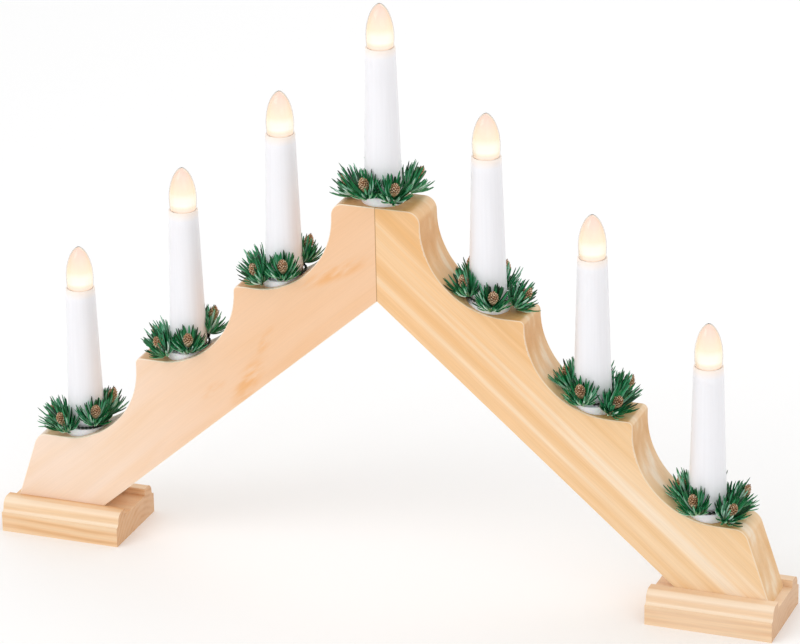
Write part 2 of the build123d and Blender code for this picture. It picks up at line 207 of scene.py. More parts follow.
# camera fitted to the arch's corners, the tube mouths and the bulb tips, in degrees, mm and pixels, with
# its clip in metres
view = {"azimuth": 21.19, "elevation": 22.23, "roll": -1.227, "right": 4.4, "up": 133.96,
        "distance": 2445.0, "focal": 4452.6, "frameWidth": 800, "sensor": 36, "clip": (0.05, 60)}
azimuth, elevation, roll = np.radians([view["azimuth"], view["elevation"], view["roll"]])
right = np.array([np.cos(azimuth), np.sin(azimuth), 0])
back = np.array([np.sin(azimuth) * np.cos(elevation), -np.cos(azimuth) * np.cos(elevation),
                 np.sin(elevation)])
up = np.cross(back, right)
right, up = np.cos(roll) * right + np.sin(roll) * up, np.cos(roll) * up - np.sin(roll) * right
place = (back * view["distance"] + right * view["right"] + up * view["up"]) * mm
cameraData = bpy.data.cameras.new("camera")
cameraData.sensor_width = view["sensor"]
cameraData.lens = view["focal"] * view["sensor"] / view["frameWidth"]
cameraData.clip_start, cameraData.clip_end = view["clip"]
camera = bpy.data.objects.new("camera", cameraData)
camera.matrix_world = standAt(place, right, up, back)
bpy.context.scene.collection.objects.link(camera)
bpy.context.scene.camera = camera
print("camera set")


# planed, clear-lacquered pine: growth rings cut along the grain show as soft stripes, late wood a
# little darker and yellower, with fine fibre lines and cloudy patches between; end grain shows arcs
pine = {
    # tilt is the grain's slope in degrees; pith, spacing and warp are the rings' middle (y, z), their period
    # and how far they wander, in mm; band and haze are the shares of uneven growth and of cloud; a fleck is
    # an ellipse of x, z, turn and two half lengths, in mm and degrees; pale and gold are the places along x,
    # in metres, between which the wood turns golden; edge is the strength of the painted highlight on the
    # eased edges, fibreLow how far fibres darken the wood, and stops the places of the early, middle and
    # late tones along the growth
    "left": {"tilt": 40.75, "pith": (-30, -95), "spacing": 21.0, "warp": 30.0, "band": 0.55, "haze": 0.75,
             "flecks": ((-76, 106, 62, 24, 8), (-65, 131, 62, 12, 4),
                        (-97, 98, 40, 12, 4), (-24, 175, 27, 34, 6)),
             "pale": -0.19, "gold": -0.05, "edge": 0.85, "fibreLow": 0.985, "stops": (0.05, 0.45, 0.97),
             "early": "#F4DAC4", "middle": "#F3D6BC", "late": "#F0CDA9",
             "heart": "#F8E3C9", "cloud": "#F5DDCB", "cut": "#F2D8B8"},
    "right": {"tilt": -40.75, "pith": (20, -120), "spacing": 14.0, "warp": 3.0, "band": 0.72, "haze": 0.4,
              "flecks": (),
              "pale": 0.19, "gold": 0.03, "edge": 0.55, "fibreLow": 0.94, "stops": (0.1, 0.34, 0.95),
              "early": "#F9E7D0", "middle": "#F3D0A5", "late": "#E8B777",
              "heart": "#FDF0DF", "cloud": "#F3D5B0", "cut": "#F0DDBB"},
    "foot": {"tilt": 0.0, "pith": (9, -22), "spacing": 3.4, "warp": 5.0, "band": 0.5, "haze": 0.75,
             "flecks": (),
             "pale": 0.9, "gold": 1.0, "edge": 0.5, "fibreLow": 0.93, "stops": (0.05, 0.6, 0.97),
             "early": "#F2D2AC", "middle": "#EDC293", "late": "#D69E66",
             "heart": "#FDF0DF", "cloud": "#F1D2B0", "cut": "#E9DACB"},
    # the first colour is the painted highlight on the eased edges; then the mitre's dark line, its half
    # width in mm, and the flecks' tone
    "edgeHighlight": "#FFF0DA", "mitre": "#B98A5C", "mitreHalf": 0.22, "fleckTone": "#EFBF88",
    # patterns drawn out along the grain: length and width in mm, then the noise's detail and roughness
    "wander": (200.0, 40.0, 2.0, 0.5), "bands": (500.0, 9.0, 2.0, 0.5), "clouds": (137.5, 55.0, 3.0, 0.55),
    "mottle": (16.0, 3.5, 3.0, 0.5), "fibres": (24.0, 0.7, 3.0, 0.6),
    "gloss": (0.4, 0.54), "bump": 0.12, "bumpDepth": 0.3,  # range of roughness, and depth in mm
}


# colour goes from early to late wood by rings about the pith mixed with uneven bands; clouds, flecks and
# fibres shade that, and the heart, the cut faces, a painted highlight on the eased edges and the mitre tint
# it in turn
def makePine(name, wood):
    material, tree, shader = newMaterial(name, {"IOR": 1.5, "Coat Weight": 0.12, "Coat Roughness": 0.3})
    coords = addNode(tree, "ShaderNodeTexCoord")
    # the grain's own frame in mm: x runs along the arm
    tilt = np.radians(wood["tilt"])
    grain = addNode(tree, "ShaderNodeMapping", {"vector_type": "POINT"},
                    {"Rotation": (0, tilt, 0), "Scale": (1 / mm, 1 / mm, 1 / mm)},
                    {"Vector": coords.outputs["Object"]})

    # one of the patterns drawn out along the grain
    def grainPattern(source, pattern):
        length, width, detail, roughness = pine[pattern]
        cells = addNode(tree, "ShaderNodeMapping", {}, {"Scale": (1 / length, 1 / width, 1 / width)},
                        {"Vector": source.outputs[0]})
        return addNode(tree, "ShaderNodeTexNoise", {},
                       {"Scale": 1.0, "Detail": detail, "Roughness": roughness},
                       {"Vector": cells.outputs[0]})

    # slow wander of the rings, as far to either side as the warp says
    wander = grainPattern(grain, "wander")
    swing = addNode(tree, "ShaderNodeVectorMath", {"operation": "MULTIPLY_ADD"},
                    {1: (0, wood["warp"] * 2, wood["warp"] * 2), 2: (0, -wood["warp"], -wood["warp"])},
                    {0: wander.outputs["Color"]})
    bent = addNode(tree, "ShaderNodeVectorMath", {"operation": "ADD"}, {},
                   {0: grain.outputs[0], 1: swing.outputs[0]})
    centred = addNode(tree, "ShaderNodeMapping", {}, {"Location": (0, -wood["pith"][0], -wood["pith"][1])},
                      {"Vector": bent.outputs[0]})
    # a ring's period is pi over ten times the scale
    rings = addNode(tree, "ShaderNodeTexWave",
                    {"wave_type": "RINGS", "rings_direction": "X", "wave_profile": "SIN"},
                    {"Scale": np.pi / 10 / wood["spacing"], "Distortion": 0.6, "Detail": 2.0,
                     "Detail Scale": 0.4},
                    {"Vector": centred.outputs[0]})
    # uneven growth mixed with the even rings
    bands = grainPattern(bent, "bands")
    bandSpan = addNode(tree, "ShaderNodeMapRange", {}, {"From Min": 0.34, "From Max": 0.66},
                       {"Value": bands.outputs["Fac"]})
    growth = addNode(tree, "ShaderNodeMix", {"data_type": "FLOAT"}, {"Factor": wood["band"]},
                     {"A": rings.outputs["Fac"], "B": bandSpan.outputs[0]})
    ringColor = addNode(tree, "ShaderNodeValToRGB", {}, {}, {"Fac": growth.outputs["Result"]})
    setRamp(ringColor, list(zip(wood["stops"], (wood["early"], wood["middle"], wood["late"]))))
    # pale patches about as large as a hand
    clouds = grainPattern(grain, "clouds")
    cloudMask = addNode(tree, "ShaderNodeMapRange", {},
                        {"From Min": 0.38, "From Max": 0.66, "To Max": wood["haze"]},
                        {"Value": clouds.outputs["Fac"]})
    clouded = addNode(tree, "ShaderNodeMix", {"data_type": "RGBA"}, {"B": hexColor(wood["cloud"])},
                      {"Factor": cloudMask.outputs[0], "A": ringColor.outputs["Color"]})
    # resin flecks: mottled orange patches, each inside its ellipse
    mottle = grainPattern(grain, "mottle")
    patchy = addNode(tree, "ShaderNodeMapRange", {}, {"From Min": 0.36, "From Max": 0.62},
                     {"Value": mottle.outputs["Fac"]})
    flecked = clouded
    for x, z, turn, half, width in wood["flecks"]:
        oval = addNode(tree, "ShaderNodeMapping", {"vector_type": "TEXTURE"},
                       {"Location": (x * mm, 0, z * mm), "Rotation": (0, -np.radians(turn), 0),
                        "Scale": (half * mm, 1, width * mm)}, {"Vector": coords.outputs["Object"]})
        reach = addNode(tree, "ShaderNodeVectorMath", {"operation": "LENGTH"}, {}, {0: oval.outputs[0]})
        inside = addNode(tree, "ShaderNodeMapRange", {"interpolation_type": "SMOOTHSTEP"},
                         {"From Min": 1.0, "From Max": 0.2, "To Max": 0.85},
                         {"Value": reach.outputs["Value"]})
        stain = addNode(tree, "ShaderNodeMath", {"operation": "MULTIPLY"}, {},
                        {0: inside.outputs[0], 1: patchy.outputs[0]})
        flecked = addNode(tree, "ShaderNodeMix", {"data_type": "RGBA"}, {"B": hexColor(pine["fleckTone"])},
                          {"Factor": stain.outputs[0], "A": flecked.outputs["Result"]})
    # fibres darken and lighten the wood in fine lines
    fibres = grainPattern(grain, "fibres")
    fibreTone = addNode(tree, "ShaderNodeMapRange", {},
                        {"From Min": 0.3, "From Max": 0.7, "To Min": wood["fibreLow"], "To Max": 1.03},
                        {"Value": fibres.outputs["Fac"]})
    toned = addNode(tree, "ShaderNodeMix", {"data_type": "RGBA", "blend_type": "MULTIPLY"}, {"Factor": 1.0},
                    {"A": flecked.outputs["Result"], "B": fibreTone.outputs[0]})
    # towards the apex the board is nearer the heart of the tree and more golden
    spot = addNode(tree, "ShaderNodeSeparateXYZ", {}, {}, {0: coords.outputs["Object"]})
    heart = addNode(tree, "ShaderNodeMapRange", {"interpolation_type": "SMOOTHSTEP"},
                    {"From Min": wood["pale"], "From Max": wood["gold"]}, {"Value": spot.outputs["X"]})
    golden = addNode(tree, "ShaderNodeMix", {"data_type": "RGBA", "blend_type": "MULTIPLY"},
                     {"B": hexColor(wood["heart"])},
                     {"Factor": heart.outputs[0], "A": toned.outputs["Result"]})
    # faces cut across the grain drink the lacquer and go tan
    across = addNode(tree, "ShaderNodeVectorMath", {"operation": "DOT_PRODUCT"},
                     {1: (np.cos(tilt), 0, np.sin(tilt))}, {0: coords.outputs["Normal"]})
    cutSize = addNode(tree, "ShaderNodeMath", {"operation": "ABSOLUTE"}, {}, {0: across.outputs["Value"]})
    cutMask = addNode(tree, "ShaderNodeMapRange", {"interpolation_type": "SMOOTHSTEP"},
                      {"From Min": 0.3, "From Max": 0.75}, {"Value": cutSize.outputs[0]})
    cut = addNode(tree, "ShaderNodeMix", {"data_type": "RGBA", "blend_type": "MULTIPLY"},
                  {"B": hexColor(wood["cut"])},
                  {"Factor": cutMask.outputs[0], "A": golden.outputs["Result"]})
    # painted highlight: eased edges, whose faces turn between the front and the steps, are painted paler as
    # if they caught the light
    turned = addNode(tree, "ShaderNodeSeparateXYZ", {}, {}, {0: coords.outputs["Normal"]})
    forward = addNode(tree, "ShaderNodeMath", {"operation": "ABSOLUTE"}, {}, {0: turned.outputs["Y"]})
    highlightRamp = addNode(tree, "ShaderNodeValToRGB", {}, {}, {"Fac": forward.outputs[0]})
    setRamp(highlightRamp, [(0.08, "#000000"), (0.35, "#FFFFFF"), (0.8, "#FFFFFF"), (0.98, "#000000")])
    highlightMask = addNode(tree, "ShaderNodeMath", {"operation": "MULTIPLY"}, {1: wood["edge"]},
                   {0: highlightRamp.outputs["Color"]})
    edgeHighlight = addNode(tree, "ShaderNodeMix", {"data_type": "RGBA"}, {"B": hexColor(pine["edgeHighlight"])},
                   {"Factor": highlightMask.outputs[0], "A": cut.outputs["Result"]})
    # the mitre shows as a thin dark line
    aside = addNode(tree, "ShaderNodeMath", {"operation": "COMPARE"}, {1: 0.0, 2: pine["mitreHalf"] * mm},
                    {0: spot.outputs["X"]})
    joined = addNode(tree, "ShaderNodeMix", {"data_type": "RGBA"}, {"B": hexColor(pine["mitre"])},
                     {"Factor": aside.outputs[0], "A": edgeHighlight.outputs["Result"]})
    rough = addNode(tree, "ShaderNodeMapRange", {}, {"To Min": pine["gloss"][0], "To Max": pine["gloss"][1]},
                    {"Value": fibres.outputs["Fac"]})
    bump = addNode(tree, "ShaderNodeBump", {},
                   {"Strength": pine["bump"], "Distance": pine["bumpDepth"] * mm},
                   {"Height": fibres.outputs["Fac"]})
    tree.links.new(joined.outputs["Result"], shader.inputs["Base Color"])
    tree.links.new(rough.outputs[0], shader.inputs["Roughness"])
    tree.links.new(bump.outputs[0], shader.inputs["Normal"])
    return material


leftPine = makePine("lacqueredPineLeft", pine["left"])
rightPine = makePine("lacqueredPineRight", pine["right"])
footPine = makePine("mouldedPine", pine["foot"])
print("pine ready")


# smaller parts that keep their solids: grit in mm, and colour stops along the grit's noise
finishes = {
    # turned beech: pinkish tan, with its short flecks as fine grit
    "turnedBeech": {"stops": ((0.3, "#CDAE86"), (0.7, "#DCC29E")), "grit": 1.2, "bump": 0.1,
                    "shader": {"Roughness": 0.6}, "nodes": ["mitre_dowels"]},
    # zinc-plated steel: bright grey with a faint blotch
    "zincSteel": {"stops": ((0.3, "#A9ABAF"), (0.7, "#C6C8CA")), "grit": 0.8, "bump": 0.05,
                  "shader": {"Metallic": 1.0, "Roughness": 0.35}, "nodes": ["foot_screws", "wire_staples"]},
    # pressed, plated brass: yellow metal, a little dull
    "platedBrass": {"stops": ((0.3, "#C9A95E"), (0.7, "#DCC283")), "grit": 0.9, "bump": 0.05,
                    "shader": {"Metallic": 1.0, "Roughness": 0.3},
                    "nodes": ["socket_shells", "socket_contacts"]},
    # soft PVC lead: ivory, satin, with a faint orange-peel
    "leadPvc": {"stops": ((0.3, "#E9E5DA"), (0.7, "#F2EFE6")), "grit": 0.5, "bump": 0.1,
                "shader": {"Roughness": 0.42}, "nodes": ["wiring"]},
    # moulded rubber: ivory and matt
    "grommetRubber": {"stops": ((0.3, "#DEDACE"), (0.7, "#EAE7DC")), "grit": 0.35, "bump": 0.15,
                      "shader": {"Roughness": 0.62}, "nodes": ["cord_grommet"]},
    # moulded white plastic: slightly grey-blue, fine mould grain
    "whiteHolder": {"stops": ((0.3, "#EDECEF"), (0.7, "#F4F3F5")), "grit": 0.4, "bump": 0.06,
                    "shader": {"Roughness": 0.38, "Subsurface Weight": 0.1, "Subsurface Scale": 0.002},
                    "nodes": [f"lamp_holder_{number}" for number in candles]},
}
dressed = [(leftPine, ["left_arm"]), (rightPine, ["right_arm"]), (footPine, ["left_foot", "right_foot"])]
dressed += [(grittyFinish(name, finish), finish["nodes"]) for name, finish in finishes.items()]
for material, names in dressed:
    for name in names:
        for slot in nodes[name].material_slots:
            slot.material = material
print("solids dressed")


# candle sleeves: satin white plastic, cool white with faint lengthways mould lines, whose width and length
# are in mm; the bulb's light is painted on the plastic as far down as litDepth
sleeve = {"foot": 10.3, "top": 8.0, "wall": 1.2, "reach": 85.7,
          "wallRows": 12, "rimRows": 9, "turnSteps": 64, "lineWide": 1 / 0.7, "lineLong": 1 / 0.014,
          "tone": "#F8F6FA", "line": "#F5F3F7", "lit": "#FFEFE2", "litDepth": 5.0}
sleevePlastic, tree, shader = newMaterial("satinWhitePlastic", {
    "Roughness": 0.4, "IOR": 1.49, "Subsurface Weight": 0.25, "Subsurface Scale": 0.004,
    "Subsurface Radius": (1.0, 0.9, 0.85)})
coords = addNode(tree, "ShaderNodeTexCoord")
lineScale = 1 / (sleeve["lineWide"] * mm)
streakMap = addNode(tree, "ShaderNodeMapping", {},
                    {"Scale": (lineScale, lineScale, 1 / (sleeve["lineLong"] * mm))},
                    {"Vector": coords.outputs["Object"]})
streak = addNode(tree, "ShaderNodeTexNoise", {}, {"Scale": 1.0, "Detail": 2.0},
                 {"Vector": streakMap.outputs[0]})
tone = addNode(tree, "ShaderNodeValToRGB", {}, {}, {"Fac": streak.outputs["Fac"]})
setRamp(tone, [(0.35, sleeve["line"]), (0.65, sleeve["tone"])])
# painted light from the bulb: warm on the plastic at the mouth, fading out below it
under = addNode(tree, "ShaderNodeAttribute", {"attribute_name": "under"})
warmth = addNode(tree, "ShaderNodeMapRange", {}, {"From Min": sleeve["litDepth"], "From Max": 0.0},
                 {"Value": under.outputs["Fac"]})
lit = addNode(tree, "ShaderNodeMix", {"data_type": "RGBA"}, {"B": hexColor(sleeve["lit"])},
              {"Factor": warmth.outputs[0], "A": tone.outputs["Color"]})
bump = addNode(tree, "ShaderNodeBump", {}, {"Strength": 0.08, "Distance": gritDepth * mm},
               {"Height": streak.outputs["Fac"]})
tree.links.new(lit.outputs["Result"], shader.inputs["Base Color"])
tree.links.new(bump.outputs[0], shader.inputs["Normal"])

# sleeve section: outer wall tapering up, a half-round rim at the mouth, inner wall back down to the foot
rimRadius = sleeve["wall"] / 2
rimTurn = np.linspace(0, np.pi, sleeve["rimRows"])
climb = np.linspace(0, 1, sleeve["wallRows"])[:, None]
outerWall = np.array([[sleeve["foot"], flangeHeight]]) * (1 - climb) \
    + np.array([[sleeve["top"], sleeve["reach"] - rimRadius]]) * climb
rim = np.stack([sleeve["top"] - rimRadius + np.cos(rimTurn) * rimRadius,
                sleeve["reach"] - rimRadius + np.sin(rimTurn) * rimRadius], -1)
sleeveSection = np.concatenate([outerWall[:-1], rim, outerWall[::-1][1:] - [sleeve["wall"], 0]])
for number, seat in zip(candles, seats):
    points, quads = turnProfile(sleeveSection, seat, sleeve["turnSteps"])
    piece = putMesh(f"sleeve{number}", points, quads, sleevePlastic, "arch", f"candle_tube_{number}")
    # how far each point lies under the mouth, in mm
    storeValues(piece, "under", points[:, 2].max() - points[:, 2])
print("sleeves turned")


# bulbs: a clear moulded flame cover over a glowing opal core, on a screw cap; the cover is an outline of
# radius and height over the seat, whose shoulder sits on the sleeve, and frost is its haze's grain in mm;
# the wall's tones, partly painted light and shade, go from a face seen flat on to one seen along it, the
# glow's from the core's foot to tip
bulb = {"cover": ((4.75, 77.5), (6.4, 85.0), (6.5, 85.5), (7.25, 85.78), (7.5, 88.6), (7.6, 91.7),
                  (7.5, 94.4), (7.05, 97.9), (6.15, 101.5), (4.95, 104.6), (3.5, 107.0), (1.9, 108.7),
                  (0.8, 109.3), (axisRadius, 109.45)),
        "rows": 40, "coverSteps": 48, "coreSteps": 32, "wall": 0.3, "frost": 1 / 0.9,
        "wallTones": ((0.0, "#FFFEFC"), (0.15, "#FFFDF8"), (0.38, "#FCEFDC"), (0.6, "#F2DECD"),
                      (0.8, "#DDCDCC"), (1.0, "#B5AAB0")),
        "core": 0.985, "coreFoot": 77.6, "coreRise": 0.985, "coreTone": "#5A5048", "glow": 1.0,
        "glowTones": ((0.0, "#F0D4C8"), (0.27, "#F9E6DA"), (0.33, "#FDEFDC"), (0.38, "#FFFEF8"),
                      (0.5, "#FFFDF2"), (0.6, "#FEF0D8"), (0.76, "#FCE6D2"), (0.9, "#FADCCE"),
                      (1.0, "#F3D6CA"))}
# clear moulded acrylic: seen along the wall it tints the light yellow, then greyish pink at the very edge;
# the tint is partly the acrylic's own over a longer path, and partly painted: the yellow is painted light
# from the core, the greyish pink rim a painted shaded outline
coverMaterial, tree, shader = newMaterial("clearBulbCover", {"IOR": 1.3, "Transmission Weight": 1.0})
coords = addNode(tree, "ShaderNodeTexCoord")
frost = addNode(tree, "ShaderNodeTexNoise", {}, {"Scale": 1 / (bulb["frost"] * mm), "Detail": 2.0},
                {"Vector": coords.outputs["Object"]})
rough = addNode(tree, "ShaderNodeMapRange", {}, {"To Min": 0.03, "To Max": 0.12},
                {"Value": frost.outputs["Fac"]})
edge = addNode(tree, "ShaderNodeLayerWeight", {}, {"Blend": 0.35})
wallTone = addNode(tree, "ShaderNodeValToRGB", {}, {}, {"Fac": edge.outputs["Facing"]})
setRamp(wallTone, bulb["wallTones"])
tree.links.new(wallTone.outputs["Color"], shader.inputs["Base Color"])
tree.links.new(rough.outputs[0], shader.inputs["Roughness"])

# opal glass core: glows pink at its foot, white above that, cream higher up and pink at the tip
coreMaterial, tree, shader = newMaterial("opalCore", {
    "Base Color": hexColor(bulb["coreTone"]), "Roughness": 0.5, "Emission Strength": bulb["glow"]})
height = addNode(tree, "ShaderNodeAttribute", {"attribute_name": "rise"})
glow = addNode(tree, "ShaderNodeValToRGB", {}, {}, {"Fac": height.outputs["Fac"]})
setRamp(glow, bulb["glowTones"])
tree.links.new(glow.outputs["Color"], shader.inputs["Emission Color"])

# the cover's outline in even rows by distance along it
listed = np.array(bulb["cover"])
along = np.concatenate([[0], np.cumsum(np.hypot(*np.diff(listed, axis=0).T))])
even = np.linspace(0, along[-1], bulb["rows"])
outer = np.stack([np.interp(even, along, listed[:, i]) for i in (0, 1)], -1)
# inner wall: the same outline drawn in by the wall's thickness
inner = np.stack([np.maximum(outer[:, 0] - bulb["wall"], axisRadius), outer[:, 1]], -1)
inner[:, 1] = outer[0, 1] + (outer[:, 1] - outer[0, 1]) * (1 - bulb["wall"] / (outer[-1, 1] - outer[0, 1]))
coverSection = np.concatenate([outer, inner[::-1]])
# core: the inner wall drawn in a little more, closed across its foot
core = inner.copy()
core[:, 0] = np.maximum(core[:, 0] * bulb["core"], axisRadius)
core[:, 1] = bulb["coreFoot"] + (inner[:, 1] - inner[0, 1]) * bulb["coreRise"]
coreSection = np.concatenate([[[axisRadius, core[0, 1]]], core])

# screw cap: plated brass with a rolled thread; a grid of turn by height whose radius dips by half the
# thread's depth times one plus the sine of the turn plus a full turn for each pitch of height; the bevel
# is how far the foot's edge is cut back in radius and height
cap = {"radius": 4.75, "depth": 0.45, "pitch": 1.8, "foot": 61.5, "top": 77.5, "tip": 60.3,
       "tipRadius": 2.0, "bevel": (0.5, 0.2), "threadRows": 60, "turnSteps": 40}
capMaterial = bpy.data.materials["platedBrass"]
threadLevels = np.linspace(cap["foot"] + cap["bevel"][1], cap["top"], cap["threadRows"])
level = np.concatenate([[cap["tip"]] * 2, [cap["foot"]] * 2, threadLevels, [cap["top"]]])[None]
plain = np.concatenate([[axisRadius, cap["tipRadius"], cap["tipRadius"], cap["radius"] - cap["bevel"][0]],
                        np.full(cap["threadRows"], cap["radius"]), [axisRadius]])[None]
dip = np.concatenate([[0, 0, 0, 0], np.full(cap["threadRows"], 0.5), [0]])[None] * cap["depth"]
turn = np.linspace(0, 2 * np.pi, cap["turnSteps"], endpoint=False)[:, None]
radius = plain - dip * (1 + np.sin(turn + 2 * np.pi * level / cap["pitch"]))
capPoints = np.stack([radius * np.cos(turn), radius * np.sin(turn), level + 0 * turn], -1)
capQuads = gridQuads(*radius.shape, True, False)[:, ::-1]

for number, seat in zip(candles, seats):
    body = f"bulb_{number}"
    points, quads = turnProfile(coverSection, seat, bulb["coverSteps"])
    putMesh(f"bulbCover{number}", points, quads, coverMaterial, body, f"bulb_glass_{number}")
    points, quads = turnProfile(coreSection, seat, bulb["coreSteps"])
    piece = putMesh(f"bulbCore{number}", points, quads, coreMaterial, body, None)
    storeValues(piece, "rise", (points[:, 2] - points[:, 2].min()) / np.ptp(points[:, 2]))
    putMesh(f"bulbCap{number}", (capPoints + seat).reshape(-1, 3), capQuads, capMaterial, body,
            f"bulb_base_{number}")
print("bulbs made")


# wreaths: a twisted wire ring with five needle sprigs, each with a small cone; in mm, wire is the twisted
# pair's half thickness and strand the radius of one strand
ring = {"radius": 11.6, "wire": 0.8, "strand": 0.42, "twists": 17, "steps": 180, "sides": 6,
        # a stem runs from the wire to past the sprig's hub: its rows' shares of that way and their radii
        "stemPast": 2.5, "stemRows": (0, 0, 1 / 3, 2 / 3, 1, 1),
        "stemRadii": (axisRadius, 0.7, 1.0, 1.35, 0.5, axisRadius)}
sprig = {
    # degrees round the ring, a row for each wreath
    "angles": ((-119, -44, 38, 108, -178), (-131, -67, 45, 106, 168), (-131, -71, 50, 110, 169),
               (-109, -49, 36, 111, -174), (-134, -61, 9, 76, 146), (-97, -29, 36, 97, 179),
               (-102, -31, 31, 106, 179)),
    # a sprig's hub outside and above the wire, in mm; its rise in degrees at the side and what facing front
    # or back adds; droop is what the downhill side adds to the hub and to the rise
    "open": {"hub": (1.4, -0.4), "rise": 57.0, "facing": 17.0, "droop": (1.8, -3.8, -6.0)},
    "upright": {"hub": (0.2, 0.9), "rise": 72.0, "facing": 0.0, "droop": (0.0, 0.0, 0.0)},
    "uprightReach": 62,  # degrees to either side of uphill where sprigs stand upright
    # the loose wreaths sit unevenly: what each adds to the height of its upright hubs
    "lifts": (1.4, 2.0, 0.4, 0.0, 0.0, 0.0, 0.0),
}
needle = {
    # whorls up the sprig's axis: place, lean off the axis at root and tip in degrees, length, number of
    # needles, the middle of their turn round the axis (90 is the candle's side) and the degrees they fill
    "whorls": ((0.2, 74, 36, 10.2, 10, 90, 240), (0.4, 64, 26, 12.0, 17, 90, 330),
               (0.9, 52, 18, 12.6, 14, 90, 290), (1.5, 40, 11, 12.8, 11, 90, 235),
               (2.1, 26, 5, 12.6, 6, 90, 165), (0.6, 54, 14, 8.0, 9, -90, 170),
               (0.5, 62, 22, 8.8, 9, -90, 190)),
    "rootGap": 1.3, "sideGrowth": 0.13, "width": 1.35, "depth": 0.9, "clearance": 0.75,
    "stagger": 0.25, "turnScatter": 0.1, "leanScatter": 0.08, "lengthScatter": 0.08, "seed": 11,
    # tone: middle, scatter and limits over all needles, how much the tip darkens and what each ridge adds: a
    # painted highlight along one ridge and a little darkening along the opposite one
    "tone": 0.53, "toneScatter": 0.26, "toneLimits": (0.05, 0.98), "tipDark": 0.28,
    "ridges": (0, 0.3, 0, -0.12),
}
# rows of a needle as shares of its length, and their shares of its width
needleRows = np.array([0.0, 0.2, 0.45, 0.7, 0.9, 1.0])
needleGirth = np.array([0.75, 1.0, 1.0, 0.92, 0.7, 0.22])
diamond = np.array([[1, 0], [0, 1], [-1, 0], [0, -1]]) * 0.5
# what the needles keep clear of: the arms' half thickness, the notches' radius and corners and the
# flange's radius; reachY is the depth they stay in, just inside the feet
arch = {"armHalf": 13.6, "notch": 46.5, "corners": (25.2, 83.1, 143.0), "flange": 12.0,
        "reachY": cadBounds[1][1] / mm - 0.9}
chance = np.random.default_rng(needle["seed"])

# needle green: moulded polyethylene, dark bluish green with a painted highlight along one ridge, half gloss
needleMaterial = grittyFinish("needlePolyethylene", {
    "shader": {"Roughness": 0.3, "IOR": 1.51, "Specular IOR Level": 0.5}, "grit": 0.6, "bump": 0.15,
    "reads": "tone", "stops": ((0.0, "#042E18"), (0.25, "#09602F"), (0.5, "#1B8850"),
                               (0.75, "#62B28A"), (1.0, "#DDF3E8"))}, detail=2.0)
# cone scales: brown plastic, lighter towards each scale's tip
coneMaterial = grittyFinish("brownConeScales", {
    "shader": {"Roughness": 0.5, "Specular IOR Level": 0.4}, "grit": 0.5, "bump": 0.2, "reads": "tone",
    "stops": ((0.0, "#6A4330"), (0.35, "#AF7F5A"), (0.7, "#D5AB82"), (1.0, "#F3DDBD"))}, detail=2.0)
# ring wire: dark green lacquered wire, faintly blotched
wireMaterial = grittyFinish("lacqueredWire", {
    "shader": {"Roughness": 0.38}, "grit": 1.5,
    "stops": ((0.3, "#0A1511"), (0.7, "#15291F"))}, detail=2.0)


# middle and own directions of the ring at a candle: x along the arch and up towards the higher step,
# y across, z square to both; the lean comes from the ring's height in the solids
def ringFrame(number, seat):
    low, high = (np.array(corner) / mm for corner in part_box(f"wreath_ring_{number}"))
    lean = np.arcsin(np.clip(((high[2] - low[2]) / 2 - ring["wire"]) / ring["radius"], 0, 1))
    lift = -np.sign(seat[0]) * np.sin(lean)
    middle = np.array([seat[0], 0, (low[2] + high[2]) / 2])
    xAxis = np.array([np.cos(lean), 0, lift])
    zAxis = np.array([-lift, 0, np.cos(lean)])
    return middle, xAxis, np.array([0, 1.0, 0]), zAxis


# top of the wood under a point: the seat, or on the uphill side the quarter circle of the notch, whose
# height is its radius less the root of radius squared less distance squared
def woodTop(points, seat):
    if seat[0] == 0:
        return np.full(points.shape[:-1], seat[2])
    inward = -np.sign(seat[0]) * (points[..., 0] - seat[0])
    corner = max(c for c in arch["corners"] if c < abs(seat[0]))
    past = np.clip(corner + arch["notch"] - np.abs(seat[0]) + inward, 0, arch["notch"] - 0.5)
    return seat[2] + arch["notch"] - np.sqrt(arch["notch"] ** 2 - past ** 2)


# moves points out of the sleeve, up off the flange and up off the wood, and keeps them in the arch's depth
def clearOf(points, seat, margin):
    away = points - seat
    span = np.hypot(away[..., 0], away[..., 1])
    skin = margin + np.interp(away[..., 2], [flangeHeight, sleeve["reach"]], [sleeve["foot"], sleeve["top"]])
    grow = np.where(away[..., 2] > flangeHeight, np.maximum(1, skin / np.maximum(span, 0.1)), 1)
    points = np.stack([seat[0] + away[..., 0] * grow, seat[1] + away[..., 1] * grow, points[..., 2]], -1)
    floor = np.where(np.abs(points[..., 1]) < arch["armHalf"], woodTop(points, seat) + margin, -np.inf)
    overFlange = np.hypot(points[..., 0] - seat[0], points[..., 1]) < arch["flange"]
    floor = np.maximum(floor, np.where(overFlange, seat[2] + flangeHeight + margin, -np.inf))
    points[..., 2] = np.maximum(points[..., 2], floor)
    points[..., 1] = np.clip(points[..., 1], -arch["reachY"], arch["reachY"])
    return points


